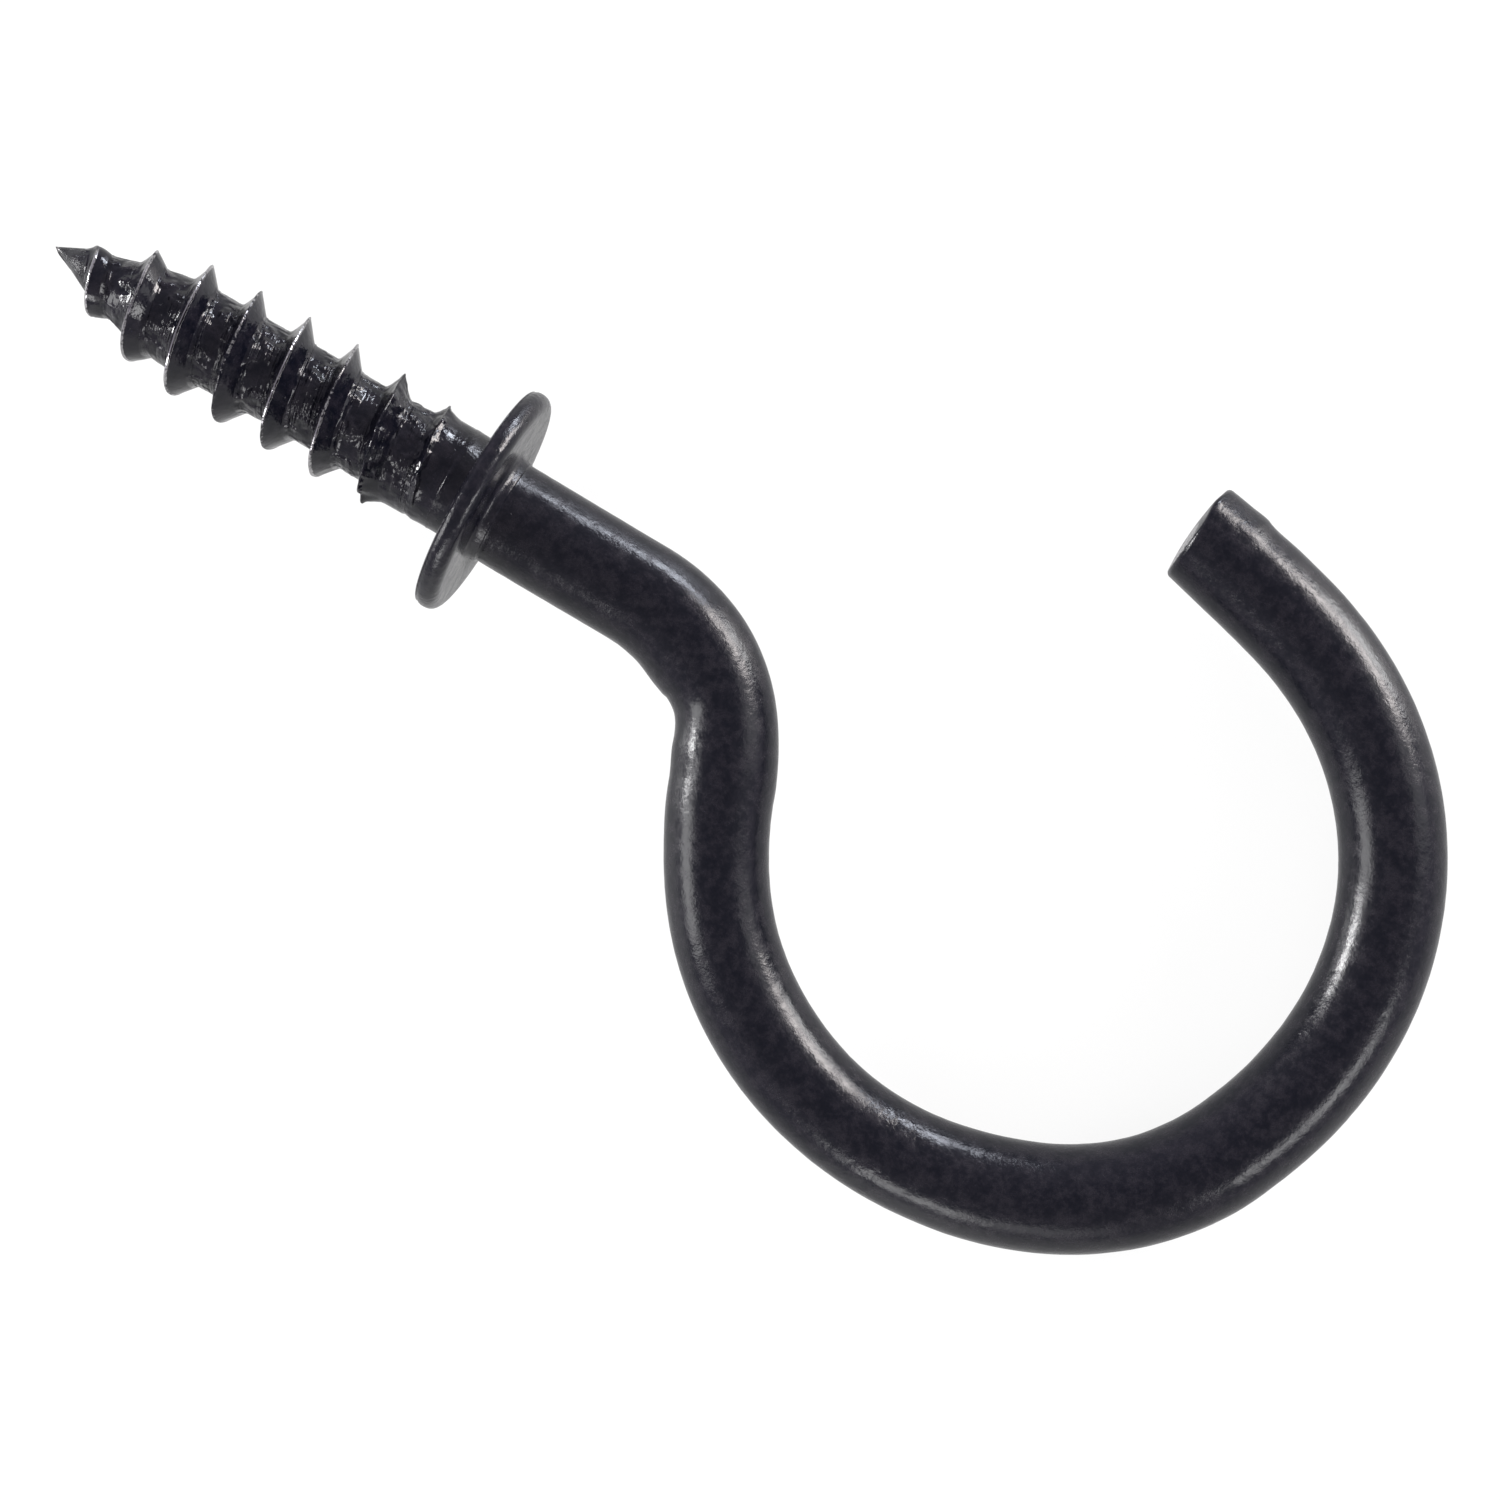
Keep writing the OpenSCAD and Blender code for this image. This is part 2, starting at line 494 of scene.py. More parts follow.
def crest_wear(x, wound, share, height):
    """How bare the crest is rubbed."""
    wear = CREST_WEAR + WEAR_CHANGE * ridge_noise(wound, WEAR_NOISE)
    wear += POINT_WEAR * bump_at(x, *BARER_AT)
    wear *= 1 - BLACKER_CREST * ease(x, *BLACKER_FROM)
    return wear * ease(share, *CREST_FROM) * ease(height, *TALL_FROM)


def thread_point(turn, step, row):
    """A point of the thread's net: its place, wear, roughness and lay along the helix."""
    across, share = RIDGE[row]
    wound = turn + step / NET_STEPS
    x = NET_START + PITCH * wound + across
    squeeze = math.exp(-max(x - SQUEEZE_FROM, 0.0) / SQUEEZE_ROOM)
    x = min(x, SQUEEZE_FROM) + SQUEEZE_ROOM * (1 - squeeze)
    angle = FIRST_RIDGE + 2 * math.pi * step / NET_STEPS
    next_turn = NET_START + PITCH * (wound + 1)
    shank = ease(next_turn, *LAST_RIDGE) * ease(across, *FAR_FLANK)
    ragged = ease(x, *RAGGED_FROM) * (1 - ease(x, *RUN_OUT))
    beaded = ease(x, *BEADED_FROM) * (1 - ease(x, *RUN_OUT)) * (1 - shank)
    valley = 1 - ease(share, *FLANK_FROM)
    core = flow(CORE_RADIUS, x)
    core += (SHANK_RADIUS - core) * shank
    full_height = max(flow(CREST_RADIUS, x) - core, 0.0) * squeeze**2
    height = ridge_height(full_height, wound, share, ragged)
    radius = core + max(height, 0.0) * share
    ragged_skin = ragged * (1 - shank)
    radius += thread_lumps(wound, across, valley, beaded, ragged_skin)
    stray = RIDGE_STRAY + RAGGED_STRAY * ragged
    x += stray * ridge_noise(wound, STRAY_NOISE) * share * squeeze
    side = flow(SCREW_SWAY, x) + radius * math.cos(angle)
    place = Vector((x - SCREW_LENGTH, side, radius * math.sin(angle)))
    wear = crest_wear(x, wound, share, height)
    rough = max(valley * beaded, RAGGED_BEADS * ragged_skin, LEAST_BEADS)
    turned = 2 * math.pi * across / PITCH
    along = LAY_CHANGE * wound
    lay = LAY_RADIUS * Vector((math.cos(turned), math.sin(turned), along))
    return place, wear, rough, lay


class Skin:
    """Gathers the points, faces and marks of the one mesh."""

    def __init__(self):
        self.points = []
        self.faces = []
        self.finish = []
        self.wear_and_highlight = []
        self.worked = []
        self.lay = []

    def point(self, place, wear_and_highlight=0.0, worked=0.0, lay=None):
        self.points.append(place * MM)
        self.wear_and_highlight.append(wear_and_highlight)
        self.worked.append(worked)
        self.lay.append(lay or place)
        return len(self.points) - 1

    def face(self, corners, finish):
        self.faces.append(corners)
        self.finish.append(finish)

    def strip(self, ring, following, finish):
        count = len(ring)
        for i in range(count):
            j = (i + 1) % count
            self.face((ring[i], ring[j], following[j], following[i]), finish)


THREAD, COLLAR_PART, WIRE = 0, 1, 2


def add_thread(skin):
    """The helical net from the point to the plain shank. Returns its last, flat ring."""
    rows = len(RIDGE)
    last = NET_TURNS * rows
    net = []
    for k in range(last + 1):
        for step in range(NET_STEPS):
            net.append(skin.point(*thread_point(k // rows, step, k % rows)))

    def at(step, k):
        if step == NET_STEPS:
            return net[(k + rows) * NET_STEPS]
        return net[k * NET_STEPS + step]

    for step in range(NET_STEPS):
        stop = last - rows if step == NET_STEPS - 1 else last
        for k in range(stop):
            near = (at(step + 1, k), at(step + 1, k + 1))
            far = (at(step, k + 1), at(step, k))
            skin.face(near + far, THREAD)

    point = Vector((-SCREW_LENGTH - POINT_REACH, 0.0, 0.0))
    tip = skin.point(point, TIP_WEAR, TIP_BEADS)
    rim = [at(step, 0) for step in range(NET_STEPS)]
    rim += [at(0, k) for k in range(rows, 0, -1)]
    for i, corner in enumerate(rim):
        skin.face((tip, corner, rim[(i + 1) % len(rim)])[::-1], THREAD)

    shank = ring_of(skin, SHANK_RING, SHANK_RADIUS, worked=SHANK_BEADS)
    for step in range(NET_STEPS - 1):
        corners = (at(step, last), shank[step], shank[step + 1], at(step + 1, last))
        skin.face(corners[::-1], THREAD)
    edge = [at(0, last)]
    edge += [at(NET_STEPS - 1, k) for k in range(last - rows, last + 1)]
    for i in range(len(edge) - 1):
        skin.face((shank[0], edge[i + 1], edge[i]), THREAD)
    skin.face((shank[0], shank[-1], edge[-1]), THREAD)
    return shank


def painted_highlight_at(distance, radius, angle):
    """How much painted highlight, laid as a spot of bare steel, lies at a place on the
    skin.
    """
    found = 0.0
    for middle, turn, size, strength in PAINTED_HIGHLIGHTS:
        away = math.hypot(distance - middle, radius * (angle - math.radians(turn)))
        found = max(found, strength * (1 - ease(away / size, *HIGHLIGHT_FADE)))
    return found


def neck_dent(distance, angle):
    """The flat and the nick that the bending tool left inside the neck."""
    inner = max(-math.cos(angle), 0.0) ** 2
    nick = ease(distance, *NECK_NICK_START) * (1 - ease(distance, *NECK_NICK_END))
    return NECK_DEPTH * inner * (bump_at(distance, *NECK_FLAT) - nick)


def ring_of(skin, distance, radius, wear_and_highlight=0.0, worked=0.0, tilted=0.0):
    """One ring of points round the wire or the shank."""
    ring = []
    for step in range(NET_STEPS):
        angle = FIRST_RIDGE + 2 * math.pi * step / NET_STEPS
        grain = SKIN_GRAIN * wobble(
            distance * SKIN_WAVES,
            math.cos(angle) * SKIN_WAVES,
            math.sin(angle) * SKIN_WAVES,
        )
        lean = COLLAR_TILT * math.cos(angle) + COLLAR_NOD * math.sin(angle)
        push = tilted * (COLLAR_SHIFT - lean * radius)
        grain += neck_dent(distance, angle)
        place = wire_point(distance, radius + grain, angle, push)
        if distance < 0:
            place.y += flow(SCREW_SWAY, SCREW_LENGTH + distance) - flow(WIRE_STRAY, 0)
        # Painted highlights: small spots of bare steel that are added to the wear where the
        # wire only catches light
        spot = painted_highlight_at(distance, radius, angle % (2 * math.pi))
        ring.append(skin.point(place, max(wear_and_highlight, spot), worked))
    return ring


def add_collar(skin, ring):
    for distance, radius in COLLAR:
        wear_and_highlight = RIM_WEAR * ease(radius, *RIM_FROM)
        worked = FACE_BEADS + EDGE_BEADS * ease(radius, *EDGE_FROM)
        tilted = ease(radius, *TILTED_FROM)
        following = ring_of(skin, distance, radius, wear_and_highlight, worked, tilted)
        skin.strip(ring, following, COLLAR_PART)
        ring = following
    return ring


def add_wire(skin, ring):
    distance = COLLAR[-1][0]
    stop = WIRE_LENGTH - END_LENGTH
    while distance < stop:
        fine = any(start <= distance < end for start, end in FINE_STRETCHES)
        distance = min(distance + (FINE_RING_STEP if fine else RING_STEP), stop)
        worked = max(k * bump_at(distance, place, length) for place, length, k in SCUFFS)
        radius = flow(WIRE_STRAY, distance, 2) / 2
        following = ring_of(skin, distance, radius, 0.0, worked)
        skin.strip(ring, following, WIRE)
        ring = following
    return ring


def end_profile(radius):
    """Rings of the cut end: how far back of it each lies, and its radius."""
    flat = radius - END_ROUNDING
    profile = [(back, radius) for back in END_RINGS]
    for k in range(EDGE_STEPS + 1):
        a = math.pi / 2 * k / EDGE_STEPS
        back = END_ROUNDING * (math.sin(a) - 1)
        profile.append((back, flat + END_ROUNDING * math.cos(a)))
    return profile + [(0.0, flat * share) for share in FACE_SHARES]


def end_push(back, across, up, share, radius):
    """How far along the wire a point of the cut end lies, with slant, dome and lip."""
    slant = (END_LEAN * up - END_SLANT * across) * ease(back, *SLANTED_FROM)
    dome = END_DOME * ((1 - share**2) * ease(back, *DOME_FROM) - END_SHIFT)
    above = max(up / (share * radius), 0.0)
    lip = END_LIP * bump_at(across / radius, LIP_PLACE, LIP_WIDTH) * above
    pushed = END_PUSH * ease(back, *PUSHED_FROM)
    return back + slant + dome + pushed + lip * share**2 * ease(back, *LIP_FROM)


def break_wear(across, up):
    """How bare the sheared face is, with an uneven border across it."""
    uneven = wobble(BREAK_WAVES * across, BREAK_WAVES * up, BREAK_NOISE)
    return BREAK_WEAR * ease(across + BREAK_WANDER * uneven, *BREAK_FROM)


def add_cut_end(skin, ring):
    """The sheared end: a slanted, slightly domed face with a rounded edge."""
    radius = flow(WIRE_STRAY, WIRE_LENGTH, 2) / 2
    for back, r in end_profile(radius):
        following = []
        for step in range(NET_STEPS):
            angle = FIRST_RIDGE + 2 * math.pi * step / NET_STEPS
            share = r / radius
            across, up = r * math.cos(angle), r * math.sin(angle)
            outer = max(-math.cos(angle), 0.0) ** 2 * ease(back, *PRESSED_FROM)
            spread = r + flow(END_PRESSED, back) * outer * share
            push = end_push(back, across, up, share, radius)
            place = wire_point(WIRE_LENGTH, spread, angle, push)
            wear_and_highlight = break_wear(across, up) * ease(back, *FACE_FROM)
            following.append(skin.point(place, wear_and_highlight, END_BEADS))
        skin.strip(ring, following, WIRE)
        ring = following
    pole = END_DOME * (1 - END_SHIFT) + END_PUSH
    middle = skin.point(wire_point(WIRE_LENGTH, 0.0, 0.0, pole), END_WEAR, END_BEADS)
    for i, corner in enumerate(ring):
        skin.face((corner, ring[(i + 1) % len(ring)], middle), WIRE)


def build_screw_hook():
    skin = Skin()
    ring = add_thread(skin)
    ring = add_collar(skin, ring)
    ring = add_wire(skin, ring)
    add_cut_end(skin, ring)
    place = hook_frame()
    mesh = bpy.data.meshes.new("screw_hook_skin")
    mesh.from_pydata([place @ p for p in skin.points], [], skin.faces)
    mesh.validate()
    # The wear mark also carries the painted highlight spots
    for name, values in (("wear_and_highlight", skin.wear_and_highlight), ("worked", skin.worked)):
        layer = mesh.attributes.new(name, "FLOAT", "POINT")
        layer.data.foreach_set("value", values)
    layer = mesh.attributes.new("lay", "FLOAT_VECTOR", "POINT")
    layer.data.foreach_set("vector", [part for lay in skin.lay for part in lay])
    mesh.polygons.foreach_set("material_index", skin.finish)
    mesh.shade_smooth()
    mesh.set_sharp_from_angle(angle=SHARP_ANGLE)
    piece = bpy.data.objects.new("screw_hook_skin", mesh)
    bpy.context.scene.collection.objects.link(piece)
    return piece


class Nodes:
    """Short forms for building a node tree."""

    def __init__(self, tree):
        self.tree = tree

    def add(self, kind, **settings):
        node = self.tree.nodes.new(kind)
        for name, value in settings.items():
            setattr(node, name, value)
        return node

    def fitted(self, kind, inputs, **settings):
        """A node with some of its sockets set."""
        node = self.add(kind, **settings)
        for name, value in inputs.items():
            node.inputs[name].default_value = value
        return node

    def link(self, source, target):
        self.tree.links.new(source, target)

    def math(self, operation, first, second, clamp=False):
        node = self.add("ShaderNodeMath", operation=operation, use_clamp=clamp)
        for socket, value in zip(node.inputs, (first, second)):
            if isinstance(value, (int, float)):
                socket.default_value = value
            else:
                self.link(value, socket)
        return node.outputs[0]

    def noise(self, vector, scale, detail=2.0, roughness=0.5):
        inputs = {"Scale": scale, "Detail": detail, "Roughness": roughness}
        node = self.fitted("ShaderNodeTexNoise", inputs)
        self.link(vector, node.inputs["Vector"])
        return node.outputs["Fac"]

    def spread(self, value, low, high, to_low=0.0, to_high=1.0):
        inputs = {
            "From Min": low,
            "From Max": high,
            "To Min": to_low,
            "To Max": to_high,
        }
        node = self.fitted("ShaderNodeMapRange", inputs, interpolation_type="SMOOTHSTEP")
        self.link(value, node.inputs["Value"])
        return node.outputs["Result"]

    def mix_colour(self, share, first, second):
        node = self.add("ShaderNodeMix", data_type="RGBA")
        for index, value in ((0, share), (6, first), (7, second)):
            socket = node.inputs[index]
            if isinstance(value, (int, float, tuple)):
                socket.default_value = value
            else:
                self.link(value, socket)
        return node.outputs[2]

    def mix_shader(self, share, first, second):
        node = self.add("ShaderNodeMixShader")
        for socket, source in zip(node.inputs, (share, first, second)):
            self.link(source, socket)
        return node.outputs[0]

    def millimetres(self):
        """The place on the object, in millimetres."""
        where = self.add("ShaderNodeTexCoord")
        scale = self.fitted("ShaderNodeVectorMath", {"Scale": 1 / MM}, operation="SCALE")
        self.link(where.outputs["Object"], scale.inputs[0])
        return scale.outputs[0]

    def mark(self, name):
        return self.add("ShaderNodeAttribute", attribute_name=name).outputs["Fac"]


FLOAT = "NodeSocketFloat"


def new_group(name, inputs, outputs):
    """A node group of numbers, its nodes, and its own input and output node."""
    group = bpy.data.node_groups.new(name, "ShaderNodeTree")
    for socket, value in inputs:
        made = group.interface.new_socket(socket, in_out="INPUT", socket_type=FLOAT)
        made.default_value = value
    for socket in outputs:
        group.interface.new_socket(socket, in_out="OUTPUT", socket_type=FLOAT)
    nodes = Nodes(group)
    return group, nodes, nodes.add("NodeGroupInput"), nodes.add("NodeGroupOutput")


# Noises of the finish: waves to the millimetre, detail and roughness
PEEL_NOISE = (2.6, 3.0, 0.6)
FINE_NOISE = (11.0, 3.0, 0.65)
PIT_NOISE = (6.5, 1.0)
MOTTLE_NOISE = (2.2, 6.0, 0.78)
STREAK_NOISE = (7.0, 2.0, 0.5)
BEAD_NOISE = (5.0, 1.5, 0.5)
PATCH_NOISE = (1.1, 2.0)
BARE_DETAIL = 4.0
BARE_ROUGHNESS = 0.7
# Values between which they set in, and for the patches also what they are spread to
PIT_FROM = (0.72, 0.80)
MOTTLE_FROM = (0.38, 0.66)
PATCH_SPREAD = (0.40, 0.62, 0.12, 1.0)
BARE_FROM = (0.64, 0.82)


def make_lacquer_grain():
    """Height of the lacquer's orange peel with pits, and a slow mottle of its tone."""
    group, n, given, made = new_group(
        "lacquer_grain",
        [("Peel", 1.0), ("Fine", 0.3), ("Pits", 0.5)],
        ["Height", "Mottle"],
    )
    mm = n.millimetres()
    peel = n.math("MULTIPLY", n.noise(mm, *PEEL_NOISE), given.outputs["Peel"])
    fine = n.math("MULTIPLY", n.noise(mm, *FINE_NOISE), given.outputs["Fine"])
    pits = n.spread(n.noise(mm, *PIT_NOISE), *PIT_FROM)
    pits = n.math("MULTIPLY", pits, given.outputs["Pits"])
    height = n.math("SUBTRACT", n.math("ADD", peel, fine), pits)
    n.link(height, made.inputs["Height"])
    mottle = n.spread(n.noise(mm, *MOTTLE_NOISE), *MOTTLE_FROM)
    n.link(mottle, made.inputs["Mottle"])
    return group


def make_rolling_marks():
    """Height of the streaks and beads that rolling leaves where the mesh is worked."""
    group, n, given, made = new_group(
        "rolling_marks",
        [("Streaks", 0.5), ("Beads", 0.5)],
        ["Height"],
    )
    lay = n.add("ShaderNodeAttribute", attribute_name="lay").outputs["Vector"]
    streaks = n.math("MULTIPLY", n.noise(lay, *STREAK_NOISE), given.outputs["Streaks"])
    mm = n.millimetres()
    beads = n.math("MULTIPLY", n.noise(mm, *BEAD_NOISE), given.outputs["Beads"])
    patchy = n.spread(n.noise(mm, *PATCH_NOISE), *PATCH_SPREAD)
    share = n.math("MULTIPLY", n.mark("worked"), patchy)
    height = n.math("MULTIPLY", n.math("ADD", streaks, beads), share)
    n.link(height, made.inputs["Height"])
    return group


def make_bare_steel_and_highlight():
    """Where the lacquer has gone from an edge, and where spots of bare steel stand in as
    painted highlights: the mark on the mesh, broken up by noise.
    """
    group, n, given, made = new_group(
        "bare_steel_and_highlight",
        [("Mark", 0.0), ("Cover", 0.5), ("Grain", 9.0)],
        ["Mask"],
    )
    inputs = {"Detail": BARE_DETAIL, "Roughness": BARE_ROUGHNESS}
    node = n.fitted("ShaderNodeTexNoise", inputs)
    n.link(n.millimetres(), node.inputs["Vector"])
    n.link(given.outputs["Grain"], node.inputs["Scale"])
    broken = n.math("ADD", node.outputs["Fac"], given.outputs["Cover"])
    both = n.math("MULTIPLY", broken, given.outputs["Mark"])
    n.link(n.spread(both, *BARE_FROM), made.inputs["Mask"])
    return group


WHITE = (1.0, 1.0, 1.0, 1.0)
BLACK = (0.0026, 0.0030, 0.0058, 1.0)
BLACK_WARM = (0.0098, 0.0088, 0.0128, 1.0)
# Bare steel of rubbed crests, rims and the cut end, also used for the painted highlight
# spots
BARE_STEEL_AND_HIGHLIGHT = (0.42, 0.41, 0.42, 1.0)


def blackened_steel(name, groups, look):
    """Black finish over steel. Relief is the grain's height in metres."""
    material = bpy.data.materials.new(name)
    material.use_nodes = True
    material.node_tree.nodes.clear()
    n = Nodes(material.node_tree)
    inputs = {"Peel": look["peel"], "Fine": look["fine"], "Pits": look["pits"]}
    grain = n.fitted("ShaderNodeGroup", inputs, node_tree=groups["grain"])
    inputs = {"Streaks": look["streaks"], "Beads": look["beads"]}
    marks = n.fitted("ShaderNodeGroup", inputs, node_tree=groups["marks"])
    inputs = {"Cover": look["bare"]}
    edge = n.fitted("ShaderNodeGroup", inputs, node_tree=groups["edge"])
    # The bare steel mask holds both rubbed wear and the painted highlight spots
    n.link(n.mark("wear_and_highlight"), edge.inputs["Mark"])
    inputs = {"Specular IOR Level": look["sheen"]}
    shader = n.fitted("ShaderNodeBsdfPrincipled", inputs)
    tone = n.mix_colour(grain.outputs["Mottle"], BLACK, BLACK_WARM)
    colour = n.mix_colour(edge.outputs["Mask"], tone, BARE_STEEL_AND_HIGHLIGHT)
    n.link(colour, shader.inputs["Base Color"])
    n.link(edge.outputs["Mask"], shader.inputs["Metallic"])
    haze = look["rough"] + look["haze"]
    gloss = n.spread(grain.outputs["Mottle"], 0.0, 1.0, look["rough"], haze)
    n.link(gloss, shader.inputs["Roughness"])
    inputs = {"Strength": 1.0, "Distance": look["relief"]}
    bump = n.fitted("ShaderNodeBump", inputs)
    height = n.math("ADD", grain.outputs["Height"], marks.outputs["Height"])
    n.link(height, bump.inputs["Height"])
    n.link(bump.outputs["Normal"], shader.inputs["Normal"])
    out = n.add("ShaderNodeOutputMaterial")
    n.link(shader.outputs["BSDF"], out.inputs["Surface"])
    return material


ROLLED = {
    "peel": 0.25,
    "fine": 0.05,
    "pits": 0.1,
    "streaks": 1.7,
    "beads": 0.8,
    "relief": 0.00008,
    "rough": 0.05,
    "haze": 0.06,
    "sheen": 0.32,
    "bare": 0.30,
}
PRESSED = {
    "peel": 0.6,
    "fine": 0.35,
    "pits": 0.4,
    "streaks": 0.0,
    "beads": 1.2,
    "relief": 0.00003,
    "rough": 0.13,
    "haze": 0.09,
    "sheen": 0.37,
    "bare": 0.15,
}
DRAWN = {
    "peel": 0.8,
    "fine": 0.30,
    "pits": 0.1,
    "streaks": 0.0,
    "beads": 1.5,
    "relief": 0.00002,
    "rough": 0.18,
    "haze": 0.10,
    "sheen": 0.3,
    "bare": 0.3,
}


def finish_screw_hook(piece):
    groups = {
        "grain": make_lacquer_grain(),
        "marks": make_rolling_marks(),
        "edge": make_bare_steel_and_highlight(),
    }
    thread = blackened_steel("rolled_thread", groups, ROLLED)
    collar = blackened_steel("pressed_collar", groups, PRESSED)
    wire = blackened_steel("drawn_wire", groups, DRAWN)
    for material in (thread, collar, wire):
        piece.data.materials.append(material)


FLOOR_SIDE = 1.2
FLOOR_GAP = 0.00001
FLOOR_WHITE = (0.96, 0.96, 0.96, 1.0)
SHADOW_SHARE = 0.12
MIRRORED_TONE = 0.62
FLOOR_GLOSS = 0.3
FLOOR_SHEEN = 0.45


def seen_directly(n, path):
    """1 for rays from the camera, in mirrors and through glass."""
    seen = n.math("ADD", path.outputs["Is Camera Ray"], path.outputs["Is Glossy Ray"])
    return n.math("ADD", seen, path.outputs["Is Transmission Ray"], clamp=True)


def floor_body(n, path):
    """White as the camera sees it, with a share of the shadow, and greyer in mirrors."""
    paper = n.fitted("ShaderNodeBsdfDiffuse", {"Color": FLOOR_WHITE})
    white = n.fitted("ShaderNodeEmission", {"Color": WHITE})
    dimmed = n.math("MULTIPLY", path.outputs["Is Glossy Ray"], 1 - MIRRORED_TONE)
    n.link(n.math("SUBTRACT", 1.0, dimmed), white.inputs["Strength"])
    share = n.math("MULTIPLY", seen_directly(n, path), 1 - SHADOW_SHARE)
    return n.mix_shader(share, paper.outputs[0], white.outputs[0])


def pale_floor():
    """The floor's material, which has a sheen of its own in mirrors."""
    material = bpy.data.materials.new("pale_floor")
    material.use_nodes = True
    material.node_tree.nodes.clear()
    n = Nodes(material.node_tree)
    path = n.add("ShaderNodeLightPath")
    body = floor_body(n, path)
    inputs = {"Color": WHITE, "Roughness": FLOOR_GLOSS}
    sheen = n.fitted("ShaderNodeBsdfGlossy", inputs)
    mirrored = n.math("MULTIPLY", path.outputs["Is Glossy Ray"], FLOOR_SHEEN)
    grazing = n.math("MULTIPLY", n.add("ShaderNodeFresnel").outputs[0], mirrored)
    out = n.add("ShaderNodeOutputMaterial")
    n.link(n.mix_shader(grazing, body, sheen.outputs[0]), out.inputs["Surface"])
    return material


def add_floor():
    half = FLOOR_SIDE / 2
    level = min(cad_box[0].z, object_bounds()[0].z) - FLOOR_GAP
    middle = (cad_box[0] + cad_box[1]) / 2
    mesh = bpy.data.meshes.new("floor")
    sides = [(-half, -half), (half, -half), (half, half), (-half, half)]
    corners = [(middle.x + x, middle.y + y, level) for x, y in sides]
    mesh.from_pydata(corners, [], [(0, 1, 2, 3)])
    mesh.materials.append(pale_floor())
    floor = bpy.data.objects.new("floor", mesh)
    bpy.context.scene.collection.objects.link(floor)


# Studio: brightness of the room by height above the horizon, from 0 to 1
ROOM_TONES = [(0.0, 0.62), (0.25, 0.6), (0.5, 0.55), (0.75, 0.43), (1.0, 0.28)]
ROOM_TINT = (1.0, 0.94, 1.09)
ROOM_LIGHT = 0.85


def room_tones(n):
    """The room's colour, which falls off towards the ceiling."""
    where = n.add("ShaderNodeTexCoord")
    parts = n.add("ShaderNodeSeparateXYZ")
    n.link(where.outputs["Generated"], parts.inputs[0])
    ramp = n.add("ShaderNodeValToRGB")
    while len(ramp.color_ramp.elements) < len(ROOM_TONES):
        ramp.color_ramp.elements.new(0.5)
    for element, (height, tone) in zip(ramp.color_ramp.elements, ROOM_TONES):
        element.position = height
        element.color = tuple(tone * part for part in ROOM_TINT) + (1.0,)
    n.link(parts.outputs["Z"], ramp.inputs[0])
    return ramp.outputs[0]


def add_room():
    """The room in mirrors, an even light for the floor, and white for the camera."""
    world = bpy.data.worlds.new("studio")
    bpy.context.scene.world = world
    world.use_nodes = True
    world.node_tree.nodes.clear()
    n = Nodes(world.node_tree)
    room = n.add("ShaderNodeBackground")
    n.link(room_tones(n), room.inputs["Color"])
    inputs = {"Color": WHITE, "Strength": ROOM_LIGHT}
    even = n.fitted("ShaderNodeBackground", inputs)
    white = n.fitted("ShaderNodeBackground", {"Color": WHITE})
    rays = n.add("ShaderNodeLightPath").outputs
    lit = n.mix_shader(rays["Is Diffuse Ray"], room.outputs[0], even.outputs[0])
    mixed = n.mix_shader(rays["Is Camera Ray"], lit, white.outputs[0])
    out = n.add("ShaderNodeOutputWorld")
    n.link(mixed, out.inputs["Surface"])


# The picture's frame: the camera looks straight down on the hook's plane
PICTURE_RIGHT = Vector((0.8599, 0.5105, 0.0))
PICTURE_UP = Vector((-0.5105, 0.8599, 0.0))
PICTURE_OUT = Vector((0.0, 0.0, 1.0))
PICTURE_MIDDLE = Vector((11.08, -2.35, 0.0))
CAMERA_DISTANCE = 102.0
LENS = 81.6
CLIP_START = 0.001
CLIP_END = 10.0


def picture_to_row():
    axes = Matrix((PICTURE_RIGHT, PICTURE_UP, PICTURE_OUT))
    turn = axes.transposed().to_4x4()
    middle = Matrix.Translation(PICTURE_MIDDLE * MM)
    return hook_frame() @ middle @ turn


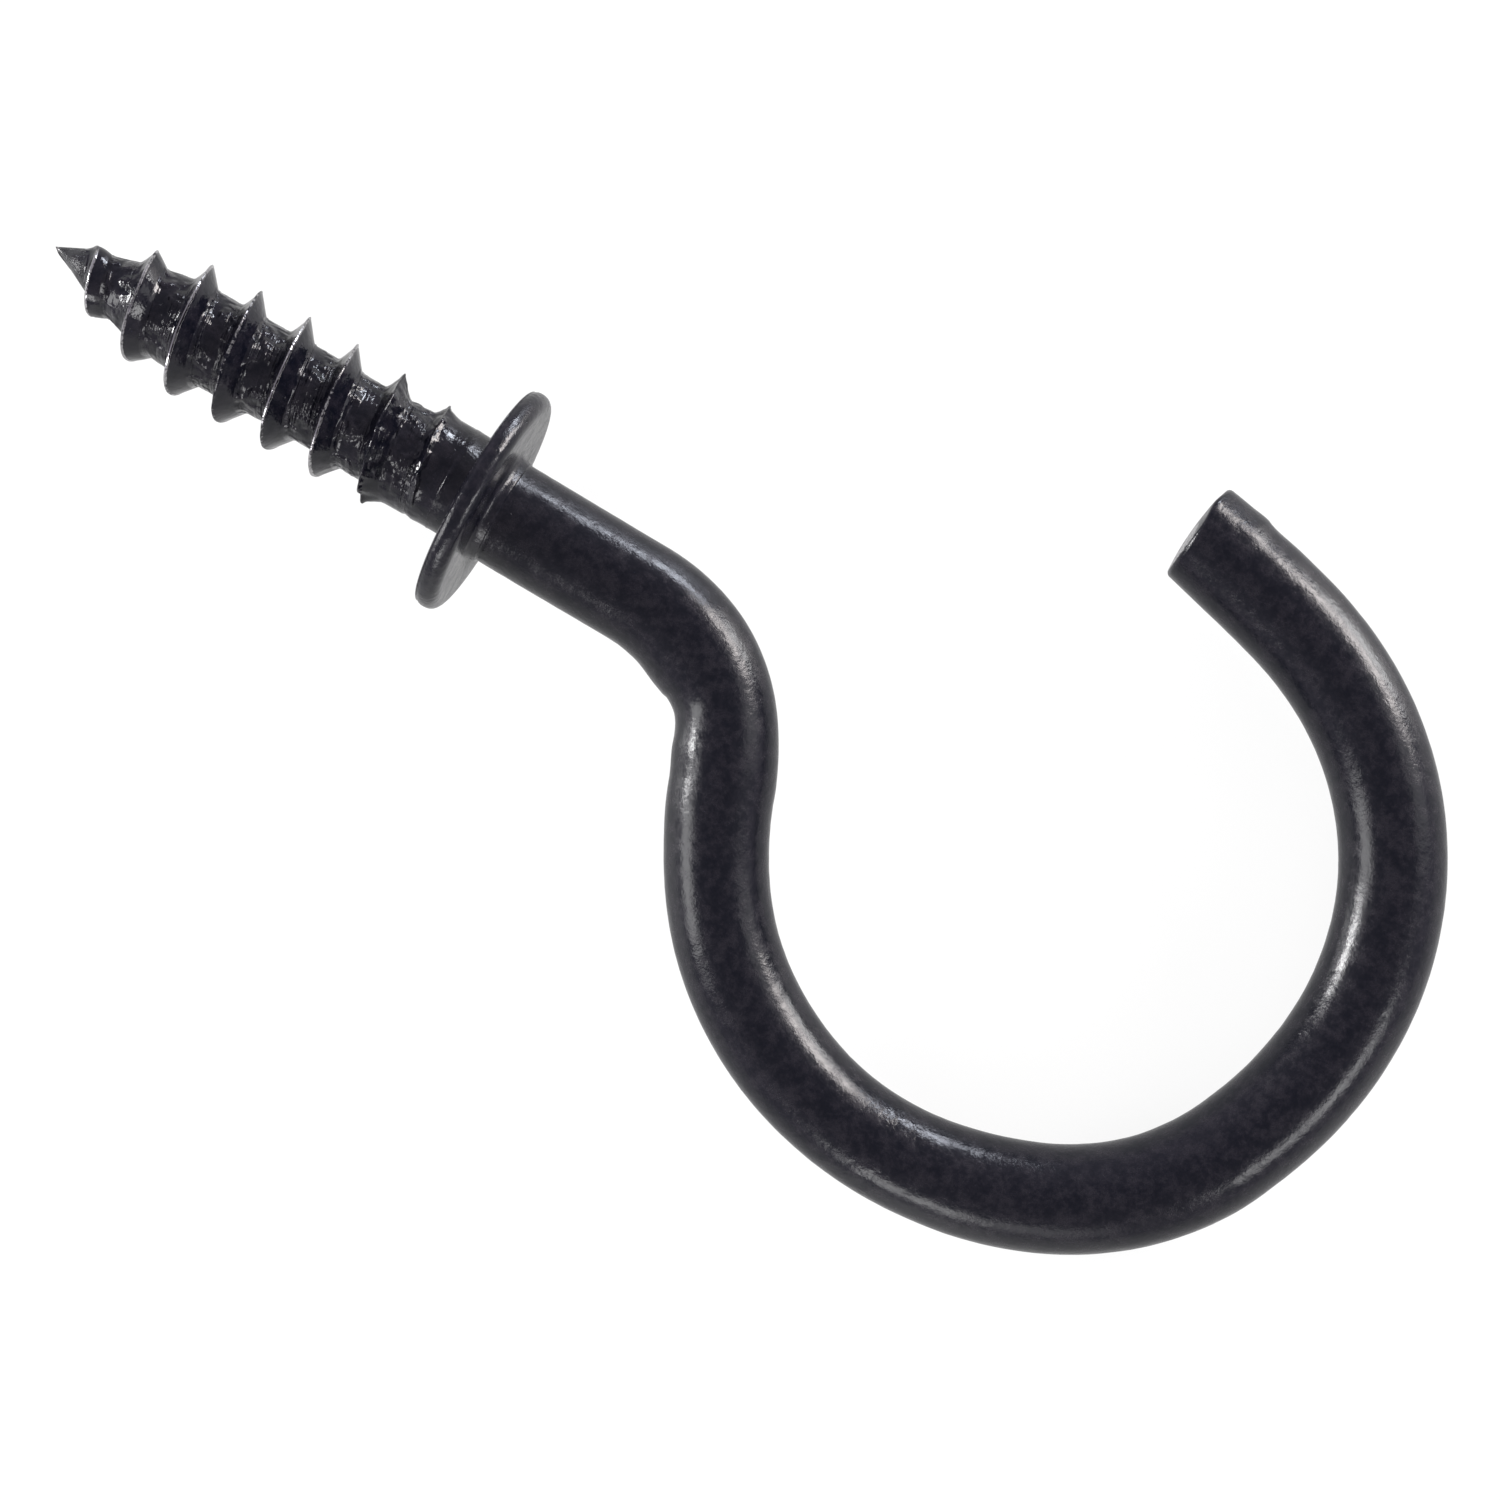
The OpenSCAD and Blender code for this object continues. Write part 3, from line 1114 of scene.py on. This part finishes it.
def add_camera():
    data = bpy.data.cameras.new("camera")
    data.lens = LENS
    data.clip_start = CLIP_START
    data.clip_end = CLIP_END
    camera = bpy.data.objects.new("camera", data)
    back = Matrix.Translation((0, 0, CAMERA_DISTANCE * MM))
    camera.matrix_world = picture_to_row() @ back
    bpy.context.scene.collection.objects.link(camera)
    bpy.context.scene.camera = camera


# Soft boxes, all at one distance. Bearings turn anticlockwise from the picture's right and
# heights are above the hook's plane, both as a middle and half a spread in degrees. The
# brightness comes last.
LAMP_DISTANCE = 0.4
PLAIN_TINT = (1.0, 1.0, 1.0)
LAMP_TINTS = {
    "key_wing": (0.92, 0.97, 1.08),
    "key_high": (1.05, 0.99, 0.97),
}
SOFT_BOXES = {
    "key_low": (30, 9, 6, 5, 18.0),
    "key_wing": (58, 8, 11, 4, 32.0),
    "key_high": (32, 12, 21, 6, 28.0),
    "left": (163, 8, 11, 5, 70.0),
    "left_wing": (187, 11, 22, 12, 7.0),
    "low_left": (250, 8, 21, 7, 8.0),
    "low": (268, 12, 22, 10, 1.5),
    "low_right": (321, 11, 33, 6, 10.0),
    "right": (12, 12, 30, 16, 1.4),
}


def add_soft_box(name, bearing, bearing_spread, height, height_spread, brightness):
    data = bpy.data.lights.new(name, "AREA")
    data.shape = "RECTANGLE"
    data.size = 2 * LAMP_DISTANCE * math.tan(math.radians(bearing_spread))
    data.size_y = 2 * LAMP_DISTANCE * math.tan(math.radians(height_spread))
    data.energy = brightness * math.pi * data.size * data.size_y
    data.color = LAMP_TINTS.get(name, PLAIN_TINT)
    lamp = bpy.data.objects.new(name, data)
    b, h = math.radians(bearing), math.radians(height)
    away = Vector((math.cos(b) * math.cos(h), math.sin(b) * math.cos(h), math.sin(h)))
    place = picture_to_row()
    lamp.location = place @ (away * LAMP_DISTANCE)
    aim = (place.to_3x3() @ away).to_track_quat("Z", "Y")
    lamp.rotation_mode = "QUATERNION"
    lamp.rotation_quaternion = aim
    lamp.visible_camera = False
    bpy.context.scene.collection.objects.link(lamp)


def add_lamps():
    for name, settings in SOFT_BOXES.items():
        add_soft_box(name, *settings)


hook = build_screw_hook()
finish_screw_hook(hook)
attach(hook, "root")
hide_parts("screw_hook")
add_floor()
add_room()
add_lamps()
add_camera()
bpy.context.scene.view_settings.view_transform = "Standard"
